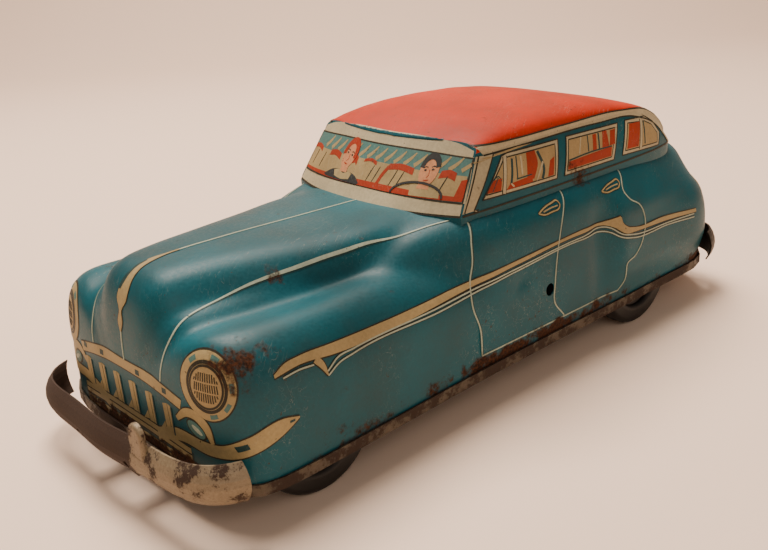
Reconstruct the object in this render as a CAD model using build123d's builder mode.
from build123d import *

import math
import os

# A pressed-tin toy sedan with a friction motor on its rear axle.
# +X is forward, +Y is the car's left, +Z is up.
# The origin is on the floor, under the middle of the car's bounding box.

# ---------------------------------------------------------------- driving dimensions, mm
TIN = 0.8                     # wall of the pressings
SILL_Z = 18.0                 # height from which the body's sections are measured
SKIRT = 3.0                   # straight strip below it, which sits inside the base's rim
NOSE_X = 143.0
NOSE_ROUND = 30.0             # length over which the nose closes
TAIL_X = -152.0
TAIL_ROUND = 48.0             # length over which the tail closes
TAIL_POWER = 4.1              # squareness with which the tail rounds off

WHEEL_R = 24.0
WHEEL_WIDTH = 9.0
WHEEL_OUTER_Y = 56.0
FRONT_AXLE_X = 103.5
REAR_AXLE_X = -85.0
AXLE_R = 1.6
AXLE_END_Y = 56.8
RUNNING_GAP = 0.05            # radial play of every shaft in its bearing
PRESS = 0.02                  # how much smaller a pressed-on bore is than its shaft

BASE_Z = 14.0                 # underside of the base plate
RIM_GAP = 0.3                 # between the body's skirt and the base's rim
RIM_TOP_Z = 18.2

BELT_Z = 76.6                 # seam between the body and the cabin
BUMPER_REACH = 158.0          # both bumpers end this far from the origin

RIVET_R = 1.5
RIVET_HOLE_R = 1.55
RIVET_HEAD_R = 2.6
RIVET_HEAD = 0.8              # height of a rivet's head
SADDLE_RIVET_Y = 18.0
FRONT_BRACKET_X = 128.0       # rivets of the bumper brackets
REAR_BRACKET_X = -136.0
STRAP_Y = 14.0                # arms of the bumper brackets

HOLE_X = -17.0                # round hole in the left door
HOLE_Z = 37.6
HOLE_R = 2.65

MODULE = 1.0                  # gears of the friction motor
PRESSURE_ANGLE = 25.0
AXLE_GEAR_TEETH = 30
PINION_TEETH = 10
IDLER_GEAR_TEETH = 28
BACKLASH = 0.14
ARBOR_R = 1.2
PLATE_Y = 15.5                # outer face of each motor side plate
PLATE_THICKNESS = 1.0
PLATE_FEET = (-106.5, -49.5)  # x of the feet of each side plate
FOOT_LENGTH = 6.0

# Sections of the body from tail to nose. Each row: x, half width at the sill, fender height above
# the sill and its squareness, half width of the hood, cowl or deck, its height above the sill and its
# squareness, direction in degrees of the valley between hood and fender, and the valley's depth.
SECTIONS = [
    (-152, 58.8, 45.5, 5.0, 46.0, 59.2, 5.6, 60.0, 0.0),
    (-127, 58.2, 45.5, 5.0, 51.0, 59.4, 6.4, 60.0, 0.0),
    (-107, 57.2, 45.0, 5.0, 54.0, 59.3, 7.4, 60.0, 0.0),
    (-87, 56.8, 44.5, 5.0, 55.8, 59.2, 8.5, 60.0, 0.0),
    (-70, 56.6, 43.0, 5.0, 56.8, 59.2, 9.0, 60.0, 0.0),
    (-52, 56.2, 41.0, 5.0, 57.0, 59.2, 9.0, 60.0, 0.0),
    (-28, 56.0, 40.0, 5.0, 57.0, 59.2, 9.0, 60.0, 0.0),
    (18, 57.4, 41.5, 5.0, 56.4, 59.4, 8.5, 62.0, 0.0),
    (33, 58.8, 44.5, 5.1, 53.4, 59.8, 6.0, 59.0, 1.0),
    (48, 59.4, 46.6, 5.2, 48.2, 60.2, 5.3, 55.5, 2.2),
    (68, 60.2, 48.6, 5.2, 41.2, 60.7, 4.8, 52.0, 3.6),
    (90, 61.0, 49.8, 5.3, 35.0, 61.4, 4.6, 50.5, 4.3),
    (113, 61.6, 50.0, 5.4, 29.5, 61.7, 4.5, 52.0, 4.6),
    (130, 61.6, 50.0, 5.4, 26.0, 61.2, 4.4, 54.0, 4.2),
    (143, 61.6, 50.0, 5.4, 25.0, 60.5, 4.4, 55.0, 4.0),
]
VALLEY_WIDTH = 5.5            # degrees over which the valley fades out
FENDER_BLEND = 24.0           # higher makes a sharper line where hood and fender meet
REAR_FENDER_SWELL = 3.4       # how far the rear fenders stand out from the doors

# Levels of the cabin from the belt to the crown. Each row: height, x at the back, x at the middle of
# the windscreen, x at the windscreen's corners, half width.
CABIN_LEVELS = [
    (BELT_Z - 4.0, -136.0, 36.5, 26.6, 50.9),
    (BELT_Z, -134.0, 34.3, 24.5, 50.4),
    (84.0, -127.5, 28.6, 20.0, 49.4),
    (91.5, -118.5, 22.9, 14.5, 48.0),
    (98.5, -103.0, 17.2, 9.0, 45.8),
    (102.0, -92.0, 13.0, 5.0, 43.6),
    (105.0, -79.0, 7.5, 0.0, 39.6),
    (107.0, -66.0, 1.0, -6.0, 34.0),
    (108.4, -50.0, -10.0, -16.0, 24.0),
]

os.makedirs("parts", exist_ok=True)


def column(index, x):
    """Value of one column of SECTIONS at x, in straight lines between the rows."""
    for low, high in zip(SECTIONS, SECTIONS[1:]):
        if x <= high[0]:
            break
    t = min(max((x - low[0]) / (high[0] - low[0]), 0.0), 1.0)
    return low[index] + t * (high[index] - low[index])


def ease(start, end, value):
    """0 at start, 1 at end, and smooth between them."""
    t = min(max((value - start) / (end - start), 0.0), 1.0)
    return t * t * (3 - 2 * t)


def superellipse(angle, width, height, power):
    """Distance from the centre to a superellipse in one direction."""
    across = abs(math.cos(angle)) / width
    up = abs(math.sin(angle)) / height
    return (across ** power + up ** power) ** (-1 / power)


def closing(x, inset=0.0):
    """How much the section at x is drawn in, across and upwards, where the nose or tail closes."""
    nose = (x - (NOSE_X - NOSE_ROUND)) / (NOSE_ROUND - inset)
    tail = ((TAIL_X + TAIL_ROUND) - x) / (TAIL_ROUND - inset)
    nose = min(max(nose, 0.0), 1.0)
    tail = min(max(tail, 0.0), 1.0)
    across = (1 - nose ** 4.2) ** (1 / 4.2) * (1 - tail ** TAIL_POWER) ** (1 / TAIL_POWER)
    up = (1 - nose ** 5.0) ** (1 / 5.0) * (1 - tail ** TAIL_POWER) ** (1 / TAIL_POWER)
    return across, up


def body_point(x, angle, inset):
    """One point (y, z) of the body's section at x, seen from the sill's centre at the given angle."""
    fender = superellipse(angle, column(1, x), column(2, x), column(3, x))
    hood = superellipse(angle, column(4, x), column(5, x), column(6, x))
    reach = (fender ** FENDER_BLEND + hood ** FENDER_BLEND) ** (1 / FENDER_BLEND)
    from_side = math.degrees(min(angle, math.pi - angle))
    reach -= column(8, x) * math.exp(-((from_side - column(7, x)) / VALLEY_WIDTH) ** 2)
    y = reach * math.cos(angle)
    z = reach * math.sin(angle)
    height = z + SILL_Z
    swell = REAR_FENDER_SWELL * ease(-53, -69, x) * ease(70, 56, height) * ease(18, 34, height)
    y += math.copysign(swell * ease(20, 50, abs(y)), y)
    across, up = closing(x, inset)
    return y * across, SILL_Z + z * up


def body_section(x, inset=0.0, points=26):
    """Points over the top of the body at x, from right to left, drawn in by inset along the normal."""
    angles = [math.pi * (1 - i / points) for i in range(points + 1)]
    outer = [body_point(x, a, inset) for a in angles]
    if inset == 0.0:
        return outer
    inner = []
    for i, (y, z) in enumerate(outer):
        before = outer[max(i - 1, 0)]
        after = outer[min(i + 1, points)]
        run = math.hypot(after[0] - before[0], after[1] - before[1])
        normal_y = (after[1] - before[1]) / run
        normal_z = -(after[0] - before[0]) / run
        if i in (0, points):
            normal_y = math.copysign(1.0, -y)
            normal_z = 0.0
        inner.append((y + inset * normal_y, z + inset * normal_z))
    return inner


def body_stations(inset=0.0):
    """The x of each section that the body is lofted through."""
    tail = [0.992, 0.94, 0.84, 0.7, 0.5, 0.25]
    nose = [0.35, 0.6, 0.78, 0.9, 0.965, 0.994]
    middle = [-104, -87, -76, -69, -61, -52, -28, 18, 33, 48, 68, 90, 113]
    tail_start = TAIL_X + TAIL_ROUND
    nose_start = NOSE_X - NOSE_ROUND
    behind = [tail_start - u * (TAIL_ROUND - inset) for u in tail]
    ahead = [nose_start + u * (NOSE_ROUND - inset) for u in nose]
    return behind + middle + ahead


def body_solid(inset=0.0, bottom=SILL_Z - SKIRT):
    """The body as a full solid, lofted through its sections."""
    with BuildPart() as solid:
        for x in body_stations(inset):
            with BuildSketch(Plane.YZ.offset(x)):
                with BuildLine():
                    points = body_section(x, inset)
                    over = Spline(*points)
                    Polyline(over @ 1, (points[-1][0], bottom), (points[0][0], bottom), over @ 0)
                make_face()
        loft(ruled=True)
    return solid.part


def cabin_solid(inset=0.0):
    """The cabin as a full solid, lofted through level outlines with a bowed front and back."""
    with BuildPart() as solid:
        for z, back, front, corner, half in CABIN_LEVELS:
            lower = z - inset
            w = half - inset
            b = back + inset
            f = front - inset
            c = corner - inset
            turn = b + 0.72 * w
            with BuildSketch(Plane.XY.offset(lower)) as outline:
                with BuildLine():
                    screen = ThreePointArc((c, w), (f, 0), (c, -w))
                    rear = Spline(
                        (turn, -w),
                        (b + 0.21 * w, -0.9 * w),
                        (b, 0),
                        (b + 0.21 * w, 0.9 * w),
                        (turn, w),
                        tangents=[(-1, 0), (1, 0)],
                    )
                    Line(screen @ 1, rear @ 0)
                    Line(rear @ 1, screen @ 0)
                make_face()
                fillet(outline.vertices().group_by(Axis.X)[-1], 3.5)
        loft(ruled=True)
    return solid.part


def sill_outline(grow):
    """Corner points of the plan of the sill, grown outwards, as one closed loop."""
    left = []
    for x in body_stations(-grow):
        half = body_point(x, 0.0, -grow)[0] + grow * closing(x, -grow)[0]
        left.append((x, half))
    right = [(x, -half) for x, half in reversed(left)]
    return left + right + left[:1]


def write(part, name):
    """Label a finished piece and write it to its own file."""
    part.label = name
    export_step(part, f"parts/{name}.step")


def side_plane(y):
    """An upright plane facing the car's right, with +X to the right and +Z up in it."""
    return Plane(origin=(0, y, 0), x_dir=(1, 0, 0), z_dir=(0, -1, 0))


def round_bar(x, z, radius, y_low, y_high, bore=0.0):
    """A round bar, or a tube, lying along Y."""
    with BuildPart() as bar:
        with BuildSketch(side_plane(y_high)):
            with Locations((x, z)):
                Circle(radius)
                if bore > 0:
                    Circle(bore, mode=Mode.SUBTRACT)
        extrude(amount=y_high - y_low)
    return bar.part


# ---------------------------------------------------------------- body shell
TAB_XS = [-117.0, -45.0, 0.0, 60.0, 122.0]        # body tabs along each sill
TAB_LENGTH = 5.0
TAB_DROP = BASE_Z - TIN                            # lowest point of the folded tabs
CABIN_TAB_XS = [-95.0, -40.0, 2.0]
CABIN_TAB_Y = 48.9
WELL_X = -50.0                                     # middle of the cut under the cabin
WELL_LENGTH = 128.0
WELL_WIDTH = 80.0
WELL_CORNER = 14.0


def tab_face_y(x):
    """Outer face of a body tab: no further out than the skirt at either end of the tab."""
    return min(body_point(x + end * TAB_LENGTH / 2, 0.0, 0.0)[0] for end in (-1, 1))


body_outer = body_solid()
body_inner = body_solid(TIN, SILL_Z - SKIRT - 2)

with BuildPart() as body_shell:
    add(body_outer)
    add(body_inner, mode=Mode.SUBTRACT)
    # The tin is cut away under the cabin, which stands on the strip that is left.
    with BuildSketch(Plane.XY.offset(60)):
        with Locations((WELL_X, 0)):
            RectangleRounded(WELL_LENGTH, WELL_WIDTH, WELL_CORNER)
    extrude(amount=30, mode=Mode.SUBTRACT)
    # Slots for the cabin's tabs.
    for x in CABIN_TAB_XS:
        for side in (-1, 1):
            with Locations((x, side * (CABIN_TAB_Y + 0.3), 72)):
                Box(TAB_LENGTH + 0.6, 1.6, 20, mode=Mode.SUBTRACT)
    # Round hole in the left door.
    with Locations(Location((HOLE_X, 57, HOLE_Z), (90, 0, 0))):
        Cylinder(HOLE_R, 12, mode=Mode.SUBTRACT)
    # Tabs that go down through the base plate and fold in under it.
    for x in TAB_XS:
        for side in (-1, 1):
            y = tab_face_y(x)
            with Locations((x, side * (y - TIN / 2), (TAB_DROP + SILL_Z - 1) / 2)):
                Box(TAB_LENGTH, TIN, SILL_Z - 1 - TAB_DROP)
            with Locations((x, side * (y - 2.0), TAB_DROP + TIN / 2 - 0.05)):
                Box(TAB_LENGTH, 4.0, TIN - 0.1)
write(body_shell.part, "body_shell")


# ---------------------------------------------------------------- cabin shell
cabin_outer = cabin_solid()
cabin_inner = cabin_solid(TIN)

with BuildPart() as cabin_shell:
    add(cabin_outer)
    add(cabin_inner, mode=Mode.SUBTRACT)
    add(body_outer, mode=Mode.SUBTRACT)
    # Tabs down through the body's slots.
    for x in CABIN_TAB_XS:
        for side in (-1, 1):
            with Locations((x, side * CABIN_TAB_Y, 75)):
                Box(TAB_LENGTH, TIN, 9)
write(cabin_shell.part, "cabin_shell")


# ---------------------------------------------------------------- base plate
SLOT_INNER_Y = 45.0
SLOT_OUTER_Y = 57.2
SLOT_HALF_LENGTH = 25.0
MOTOR_SLOT = (-104.0, -56.0, 12.0)                 # x from, x to, half width
RIB_X = 22.0                                       # middle of the two pressed ribs
RIB_Y = 26.0
RIB_LENGTH = 96.0
RIB_WIDTH = 6.0
RIB_RISE = 1.0
RIVET_PLACES = [
    (FRONT_AXLE_X, SADDLE_RIVET_Y),
    (FRONT_BRACKET_X, STRAP_Y),
    (REAR_BRACKET_X, STRAP_Y),
]

with BuildPart() as base_plate:
    with BuildSketch(Plane.XY.offset(BASE_Z)):
        with BuildLine():
            Polyline(*sill_outline(RIM_GAP + TIN))
        make_face()
    extrude(amount=RIM_TOP_Z - BASE_Z)
    with BuildSketch(Plane.XY.offset(BASE_Z + TIN)):
        with BuildLine():
            Polyline(*sill_outline(RIM_GAP))
        make_face()
    extrude(amount=RIM_TOP_Z, mode=Mode.SUBTRACT)
    # Long slots for the wheels, and one for the motor's axle gear.
    slot_width = SLOT_OUTER_Y - SLOT_INNER_Y
    with BuildSketch(Plane.XY.offset(BASE_Z)):
        for x in (FRONT_AXLE_X, REAR_AXLE_X):
            for side in (-1, 1):
                with Locations((x, side * (SLOT_INNER_Y + slot_width / 2))):
                    RectangleRounded(2 * SLOT_HALF_LENGTH, slot_width, 3)
        with Locations(((MOTOR_SLOT[0] + MOTOR_SLOT[1]) / 2, 0)):
            RectangleRounded(MOTOR_SLOT[1] - MOTOR_SLOT[0], 2 * MOTOR_SLOT[2], 3)
    extrude(amount=TIN * 1.001, mode=Mode.SUBTRACT)
    # Slots for the body's tabs.
    for x in TAB_XS:
        for side in (-1, 1):
            y = tab_face_y(x)
            with Locations((x, side * (y - TIN / 2 - 0.25), BASE_Z + TIN / 2)):
                Box(TAB_LENGTH + 0.8, TIN + 0.9, TIN * 1.2, mode=Mode.SUBTRACT)
    # Two pressed ribs stiffen the middle.
    for side in (-1, 1):
        with BuildSketch(Plane.XY.offset(BASE_Z + TIN)):
            with Locations((RIB_X, side * RIB_Y)):
                SlotOverall(RIB_LENGTH, RIB_WIDTH)
        extrude(amount=RIB_RISE)
        with BuildSketch(Plane.XY.offset(BASE_Z)):
            with Locations((RIB_X, side * RIB_Y)):
                SlotOverall(RIB_LENGTH - 2 * TIN, RIB_WIDTH - 2 * TIN)
        extrude(amount=RIB_RISE, mode=Mode.SUBTRACT)
    # Slots for the feet of the motor plates, and holes for the rivets of the saddle and brackets.
    for x in PLATE_FEET:
        for side in (-1, 1):
            with Locations((x, side * (PLATE_Y - PLATE_THICKNESS / 2), BASE_Z + TIN / 2)):
                Box(FOOT_LENGTH + 0.6, PLATE_THICKNESS + 0.3, TIN * 1.2, mode=Mode.SUBTRACT)
    for x, y in RIVET_PLACES:
        with Locations((x, y, BASE_Z + TIN), (x, -y, BASE_Z + TIN)):
            Hole(RIVET_HOLE_R, depth=TIN * 1.2)
write(base_plate.part, "base_plate")


# ---------------------------------------------------------------- bumpers
BUMPER_TIN = 0.9
BUMPER_Z = 21.0               # middle of both bumpers
BUMPER_HEIGHT = 14.0
BUMPER_TILT = 2.2             # degrees by which the front bumper hangs lower on the right
BUMPER_BULGE = 3.4            # how far the middle of the bumper stands out from its edges
OVERRIDER_Y = 25.5
OVERRIDER_TOP = 35.6
BUMPER_HOLE_Y = 17.5
STRAP_WIDTH = 8.0
STRAP_TIN = 1.0
FRONT_STRAP_TOP_Z = 16.0
REAR_STRAP_TOP_Z = 16.4
GUARD_WIDTH = 9.0
BUMPER_HOLE_R = 1.3
BUMPER_HOLE_Z = 18.5
FRONT_STRAP_SETBACK = 5.05     # the straps stand this far behind the front bumper's middle
REAR_STRAP_SETBACK = 3.0


def bumper_skin(end, sign, corner_x, wing_x, wing_y, z, height, bulge, inset):
    """A full solid behind one skin of a bumper, bowed out at mid height and round the car's end."""
    levels = 7
    with BuildPart() as skin:
        for i in range(levels):
            t = 2 * i / (levels - 1) - 1
            out = bulge * (1 - t * t) - bulge - inset
            level_z = z + t * (height / 2 + (0.3 if inset else 0.0))
            with BuildSketch(Plane.XY.offset(level_z)):
                with BuildLine():
                    front = Spline(
                        (wing_x, wing_y + out),
                        (corner_x + sign * out * 0.7, wing_y - 7.5 + out * 0.7),
                        (end + sign * (out - 1.6), 26),
                        (end + sign * out, 0),
                        (end + sign * (out - 1.6), -26),
                        (corner_x + sign * out * 0.7, 7.5 - wing_y - out * 0.7),
                        (wing_x, -wing_y - out),
                    )
                    Line(front @ 1, front @ 0)
                make_face()
        loft(ruled=True)
    return skin.part


def overrider(x, y, z_low, z_high):
    """A bumper guard: an upright tongue with a round top, its face rounded over."""
    with BuildPart() as guard:
        with BuildSketch(Plane.YZ.offset(x)):
            with Locations((y, (z_low + z_high) / 2)):
                SlotOverall(z_high - z_low, GUARD_WIDTH, rotation=90)
        extrude(amount=2.2)
        fillet(guard.faces().sort_by(Axis.X)[-1].edges(), 1.4)
    return guard.part


# Of each bumper: x of its middle, the way it faces, x of its corners, x and y of its wing ends,
# height of its middle, height of the strip, bulge.
FRONT_BUMPER = (BUMPER_REACH, 1, 150.0, 138.5, 65.2, BUMPER_Z, BUMPER_HEIGHT, BUMPER_BULGE)
REAR_BUMPER = (-BUMPER_REACH, -1, -150.5, -137.0, 62.6, 23.5, 14.0, 2.4)

with BuildPart() as front_bumper:
    add(bumper_skin(*FRONT_BUMPER, 0.0))
    add(bumper_skin(*FRONT_BUMPER, BUMPER_TIN), mode=Mode.SUBTRACT)
    # Only the left guard is left on the bumper.
    add(overrider(BUMPER_REACH - 4.4, OVERRIDER_Y, BUMPER_Z - 2.0, OVERRIDER_TOP))
    for side in (-1, 1):
        with Locations(Location((BUMPER_REACH, side * BUMPER_HOLE_Y, BUMPER_HOLE_Z), (0, 90, 0))):
            Cylinder(BUMPER_HOLE_R, 30, mode=Mode.SUBTRACT)
tilted_bumper = front_bumper.part.rotate(Axis((0, 0, BUMPER_Z), (1, 0, 0)), BUMPER_TILT)
write(tilted_bumper, "front_bumper")

with BuildPart() as rear_bumper:
    add(bumper_skin(*REAR_BUMPER, 0.0))
    add(bumper_skin(*REAR_BUMPER, BUMPER_TIN), mode=Mode.SUBTRACT)
write(rear_bumper.part, "rear_bumper")


def bumper_bracket(rivet_x, face_x, sign, z):
    """A U-shaped strap: a foot under the base plate and two arms that turn up behind the bumper."""
    foot_z = BASE_Z - STRAP_TIN
    with BuildPart() as bracket:
        with BuildSketch(Plane.XY.offset(foot_z)):
            with Locations((rivet_x, 0)):
                RectangleRounded(STRAP_WIDTH + 2, 2 * STRAP_Y + STRAP_WIDTH + 2, 2)
            for side in (-1, 1):
                with Locations(((rivet_x + face_x) / 2, side * STRAP_Y)):
                    Rectangle(abs(face_x - rivet_x), STRAP_WIDTH)
        extrude(amount=STRAP_TIN)
        for side in (-1, 1):
            with Locations((face_x - sign * STRAP_TIN / 2, side * STRAP_Y, (foot_z + z) / 2)):
                Box(STRAP_TIN, STRAP_WIDTH, z - foot_z)
        with Locations((rivet_x, STRAP_Y, BASE_Z), (rivet_x, -STRAP_Y, BASE_Z)):
            Hole(RIVET_HOLE_R, depth=2)
    return bracket.part


FRONT_STRAP_X = BUMPER_REACH - FRONT_STRAP_SETBACK
REAR_STRAP_X = REAR_STRAP_SETBACK - BUMPER_REACH
write(bumper_bracket(FRONT_BRACKET_X, FRONT_STRAP_X, 1, FRONT_STRAP_TOP_Z), "front_bumper_bracket")
write(bumper_bracket(REAR_BRACKET_X, REAR_STRAP_X, -1, REAR_STRAP_TOP_Z), "rear_bumper_bracket")


def rivet(x, y, low, high):
    """A tubular rivet closed over the plates between low and high."""
    with BuildPart() as pin:
        with Locations((x, y, (low + high) / 2)):
            Cylinder(RIVET_R, high - low)
        with Locations((x, y, low - RIVET_HEAD / 2), (x, y, high + RIVET_HEAD / 2)):
            Cylinder(RIVET_HEAD_R, RIVET_HEAD)
    return pin.part


with BuildPart() as bracket_rivets:
    for x in (FRONT_BRACKET_X, REAR_BRACKET_X):
        for side in (-1, 1):
            add(rivet(x, side * STRAP_Y, BASE_Z - STRAP_TIN, BASE_Z + TIN))
write(bracket_rivets.part, "bracket_rivets")


# ---------------------------------------------------------------- front axle saddle
SADDLE_EAR_Y = 32.0
SADDLE_LENGTH = 12.0
SADDLE_STEEL = 1.0
SADDLE_TOP_Z = WHEEL_R + 5.0

with BuildPart() as front_axle_saddle:
    with BuildSketch(Plane.XY.offset(BASE_Z + TIN)):
        with Locations((FRONT_AXLE_X, 0)):
            RectangleRounded(SADDLE_LENGTH, 2 * SADDLE_EAR_Y, 1)
    extrude(amount=SADDLE_STEEL)
    for side in (-1, 1):
        ear_y = side * (SADDLE_EAR_Y - SADDLE_STEEL / 2) + SADDLE_STEEL / 2
        with BuildSketch(side_plane(ear_y)):
            with Locations((FRONT_AXLE_X, (BASE_Z + TIN + SADDLE_TOP_Z) / 2)):
                Rectangle(SADDLE_LENGTH, SADDLE_TOP_Z - BASE_Z - TIN)
        extrude(amount=SADDLE_STEEL)
    fillet(front_axle_saddle.edges().filter_by(Axis.Y).group_by(Axis.Z)[-1], 3)
    with Locations(Location((FRONT_AXLE_X, 0, WHEEL_R), (90, 0, 0))):
        Cylinder(AXLE_R + RUNNING_GAP, 80, mode=Mode.SUBTRACT)
    for side in (-1, 1):
        with Locations((FRONT_AXLE_X, side * SADDLE_RIVET_Y, BASE_Z + 2)):
            Hole(RIVET_HOLE_R, depth=3)
write(front_axle_saddle.part, "front_axle_saddle")

with BuildPart() as saddle_rivets:
    for side in (-1, 1):
        add(rivet(FRONT_AXLE_X, side * SADDLE_RIVET_Y, BASE_Z, BASE_Z + TIN + SADDLE_STEEL))
write(saddle_rivets.part, "saddle_rivets")


# ---------------------------------------------------------------- wheels
RIM_R = 15.5                  # where the tyre meets the tin hub
TYRE_ROUND = 2.6              # corner radius of the tread
HUB_RECESS = 3.2              # how far the hub stands in from the tyre's outer face
COLLAR_R = 3.0
COLLAR_LENGTH = 3.0
COLLAR_GAP = 0.3              # between a collar and the bearing beside it


def tyre(x, side):
    """A moulded ring with a rounded tread, standing upright beside the body."""
    inner_y = WHEEL_OUTER_Y - WHEEL_WIDTH
    with BuildPart() as ring:
        with BuildSketch(Plane.XY):
            with Locations((x + (WHEEL_R + RIM_R) / 2, (inner_y + WHEEL_OUTER_Y) / 2)):
                RectangleRounded(WHEEL_R - RIM_R, WHEEL_WIDTH, TYRE_ROUND)
        revolve(axis=Axis((x, 0, 0), (0, 1, 0)))
    turned = ring.part if side > 0 else mirror(ring.part, about=Plane.XZ)
    return turned.moved(Location((0, 0, WHEEL_R)))


def hub(x, side):
    """A pressed disc with a rolled edge and a raised middle that is pushed on to the axle."""
    face_y = WHEEL_OUTER_Y - HUB_RECESS
    with BuildPart() as disc:
        with BuildSketch(Plane.XY):
            with BuildLine():
                Polyline(
                    (x + AXLE_R - PRESS, face_y - 5.0),
                    (x + AXLE_R + 1.4, face_y - 5.0),
                    (x + AXLE_R + 1.4, face_y - 0.6),
                    (x + 5.2, face_y - 0.6),
                    (x + 6.4, face_y - 1.8),
                    (x + 12.6, face_y - 1.8),
                    (x + 13.8, face_y - 0.2),
                    (x + RIM_R, face_y - 0.2),
                    (x + RIM_R, face_y + 1.0),
                    (x + 13.2, face_y + 1.0),
                    (x + 12.0, face_y - 0.6),
                    (x + 6.9, face_y - 0.6),
                    (x + 5.7, face_y + 0.6),
                    (x + AXLE_R - PRESS, face_y + 0.6),
                    close=True,
                )
            make_face()
        revolve(axis=Axis((x, 0, 0), (0, 1, 0)))
    turned = disc.part if side > 0 else mirror(disc.part, about=Plane.XZ)
    return turned.moved(Location((0, 0, WHEEL_R)))


for end, x in (("front", FRONT_AXLE_X), ("rear", REAR_AXLE_X)):
    for hand, side in (("left", 1), ("right", -1)):
        write(tyre(x, side), f"{end}_{hand}_tyre")
        write(hub(x, side), f"{end}_{hand}_hub")

write(round_bar(FRONT_AXLE_X, WHEEL_R, AXLE_R, -AXLE_END_Y, AXLE_END_Y), "front_axle")
write(round_bar(REAR_AXLE_X, WHEEL_R, AXLE_R, -AXLE_END_Y, AXLE_END_Y), "rear_axle")


def collar_pair(x, ear_y):
    """Two spacing collars on an axle, just outside its bearings."""
    near = ear_y + COLLAR_GAP
    far = near + COLLAR_LENGTH
    with BuildPart() as pair:
        add(round_bar(x, WHEEL_R, COLLAR_R, near, far, AXLE_R - PRESS))
        add(round_bar(x, WHEEL_R, COLLAR_R, -far, -near, AXLE_R - PRESS))
    return pair.part


write(collar_pair(FRONT_AXLE_X, SADDLE_EAR_Y), "front_axle_collars")
write(collar_pair(REAR_AXLE_X, PLATE_Y), "rear_axle_collars")


# ---------------------------------------------------------------- friction motor
FIRST_CENTRES = MODULE * (AXLE_GEAR_TEETH + PINION_TEETH) / 2
SECOND_CENTRES = MODULE * (IDLER_GEAR_TEETH + PINION_TEETH) / 2
IDLER_AHEAD = 14.0            # how far each arbor lies ahead of the one that drives it
FLYWHEEL_AHEAD = 18.0
IDLER_X = REAR_AXLE_X + IDLER_AHEAD
IDLER_Z = WHEEL_R + math.sqrt(FIRST_CENTRES ** 2 - IDLER_AHEAD ** 2)
FLYWHEEL_X = IDLER_X + FLYWHEEL_AHEAD
FLYWHEEL_Z = IDLER_Z + math.sqrt(SECOND_CENTRES ** 2 - FLYWHEEL_AHEAD ** 2)
FLYWHEEL_R = 15.6


def involute(base_r, radius):
    """Involute function of the pressure angle where the flank reaches the given radius."""
    pressure = math.acos(min(base_r / radius, 1.0))
    return math.tan(pressure) - pressure


def gear_outline(teeth, first_tooth_angle):
    """Corner points of a spur gear with involute flanks, its first tooth at the given angle."""
    pitch_r = MODULE * teeth / 2
    base_r = pitch_r * math.cos(math.radians(PRESSURE_ANGLE))
    tip_r = pitch_r + 0.85 * MODULE
    root_r = pitch_r - 1.15 * MODULE
    half_tooth = (math.pi * MODULE / 2 - BACKLASH) / 2 / pitch_r
    at_pitch = involute(base_r, pitch_r)
    start_r = max(base_r, root_r)
    flank = []
    for i in range(5):
        radius = start_r + (tip_r - start_r) * i / 4
        flank.append((radius, half_tooth + at_pitch - involute(base_r, radius)))
    if root_r < base_r:
        flank.insert(0, (root_r, flank[0][1]))
    points = []
    for tooth in range(teeth):
        centre = first_tooth_angle + tooth * 2 * math.pi / teeth
        for radius, half in flank:
            points.append((radius * math.cos(centre - half), radius * math.sin(centre - half)))
        for radius, half in reversed(flank):
            points.append((radius * math.cos(centre + half), radius * math.sin(centre + half)))
    return points


def spur_gear(x, z, teeth, first_tooth_angle, y_low, y_high, bore, hub_r=0.0, hub_y=0.0):
    """A spur gear on an axle along Y, with a hub on its right if one is asked for."""
    outline = [(x + u, z + v) for u, v in gear_outline(teeth, first_tooth_angle)]
    with BuildPart() as gear:
        with BuildSketch(side_plane(y_high)):
            with BuildLine():
                Polyline(*outline, close=True)
            make_face()
            with Locations((x, z)):
                Circle(bore, mode=Mode.SUBTRACT)
        extrude(amount=y_high - y_low)
        if hub_r > 0:
            with BuildSketch(side_plane(y_low)):
                with Locations((x, z)):
                    Circle(hub_r)
                    Circle(bore, mode=Mode.SUBTRACT)
            extrude(amount=y_low - hub_y)
    return gear.part


# Directions from each gear to the next, in the upright plane, and the turn of the first teeth:
# a tooth of the driving gear points at the next gear, whose tooth gap faces it.
to_idler = math.atan2(IDLER_Z - WHEEL_R, IDLER_X - REAR_AXLE_X)
to_flywheel = math.atan2(FLYWHEEL_Z - IDLER_Z, FLYWHEEL_X - IDLER_X)
half_pitch = math.pi / PINION_TEETH
bore = AXLE_R - PRESS
arbor_bore = ARBOR_R - PRESS

write(
    spur_gear(REAR_AXLE_X, WHEEL_R, AXLE_GEAR_TEETH, to_idler, -10.0, -7.0, bore, 5.0, -13.0),
    "axle_gear",
)
write(
    spur_gear(
        IDLER_X, IDLER_Z, PINION_TEETH, to_idler + math.pi + half_pitch, -10.5, -6.5, arbor_bore
    ),
    "idler_pinion",
)
write(
    spur_gear(IDLER_X, IDLER_Z, IDLER_GEAR_TEETH, to_flywheel, -5.5, -3.0, arbor_bore, 3.0, -6.4),
    "idler_gear",
)
write(
    spur_gear(
        FLYWHEEL_X, FLYWHEEL_Z, PINION_TEETH, to_flywheel + math.pi + half_pitch, -6.0, -2.0,
        arbor_bore,
    ),
    "flywheel_pinion",
)
write(round_bar(IDLER_X, IDLER_Z, ARBOR_R, -PLATE_Y - 1.0, PLATE_Y + 1.0), "idler_arbor")
write(round_bar(FLYWHEEL_X, FLYWHEEL_Z, ARBOR_R, -PLATE_Y - 1.0, PLATE_Y + 1.0), "flywheel_arbor")

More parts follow.
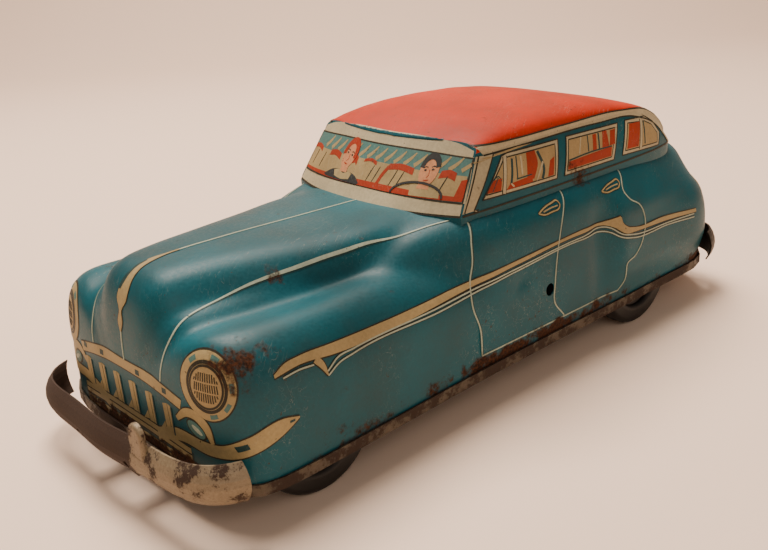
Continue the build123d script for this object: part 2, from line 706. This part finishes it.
with BuildPart() as flywheel:
    with BuildSketch(Plane.XY):
        with BuildLine():
            Polyline(
                (arbor_bore, 1.5),
                (4.0, 1.5),
                (4.0, 3.0),
                (9.5, 3.0),
                (10.5, 2.0),
                (FLYWHEEL_R, 2.0),
                (FLYWHEEL_R, 10.0),
                (10.5, 10.0),
                (9.5, 9.0),
                (4.0, 9.0),
                (4.0, 11.0),
                (arbor_bore, 11.0),
                close=True,
            )
        make_face()
    revolve(axis=Axis.Y)
write(flywheel.part.moved(Location((FLYWHEEL_X, 0, FLYWHEEL_Z))), "flywheel")

# Side plates, with a foot at each end that drops through the base.
PLATE_LOW_Z = BASE_Z + TIN
PILLARS = [(-108.0, 20.0), (-97.0, 47.0), (-40.0, 24.0)]
PILLAR_R = 2.2
PILLAR_END_R = 1.2            # the thin ends that pass through the side plates
PILLAR_HEAD = 0.9             # length of each end outside the plates

for name, side in (("motor_plate_left", 1), ("motor_plate_right", -1)):
    face = side * (PLATE_Y - PLATE_THICKNESS / 2) + PLATE_THICKNESS / 2
    with BuildPart() as motor_plate:
        with BuildSketch(side_plane(face)):
            with BuildLine():
                Polyline(
                    (-114, PLATE_LOW_Z),
                    (-34, PLATE_LOW_Z),
                    (-34, 40),
                    (-46, 58),
                    (-64, 58),
                    (-90, 54),
                    (-104, 54),
                    (-114, 30),
                    close=True,
                )
            make_face()
            fillet(vertices().group_by(Axis.Y)[1:], 5)
            for x in PLATE_FEET:
                with Locations((x, PLATE_LOW_Z - 0.8)):
                    Rectangle(FOOT_LENGTH, 2.4)
        extrude(amount=PLATE_THICKNESS)
        with Locations(Location((REAR_AXLE_X, 0, WHEEL_R), (90, 0, 0))):
            Cylinder(AXLE_R + RUNNING_GAP, 60, mode=Mode.SUBTRACT)
        with Locations(
            Location((IDLER_X, 0, IDLER_Z), (90, 0, 0)),
            Location((FLYWHEEL_X, 0, FLYWHEEL_Z), (90, 0, 0)),
        ):
            Cylinder(ARBOR_R + RUNNING_GAP, 60, mode=Mode.SUBTRACT)
        for x, z in PILLARS:
            with Locations(Location((x, 0, z), (90, 0, 0))):
                Cylinder(PILLAR_END_R, 60, mode=Mode.SUBTRACT)
    write(motor_plate.part, name)

with BuildPart() as motor_pillars:
    inner_y = PLATE_Y - PLATE_THICKNESS
    for x, z in PILLARS:
        add(round_bar(x, z, PILLAR_R, -inner_y, inner_y))
        add(round_bar(x, z, PILLAR_END_R, -PLATE_Y - PILLAR_HEAD, PLATE_Y + PILLAR_HEAD))
write(motor_pillars.part, "motor_pillars")
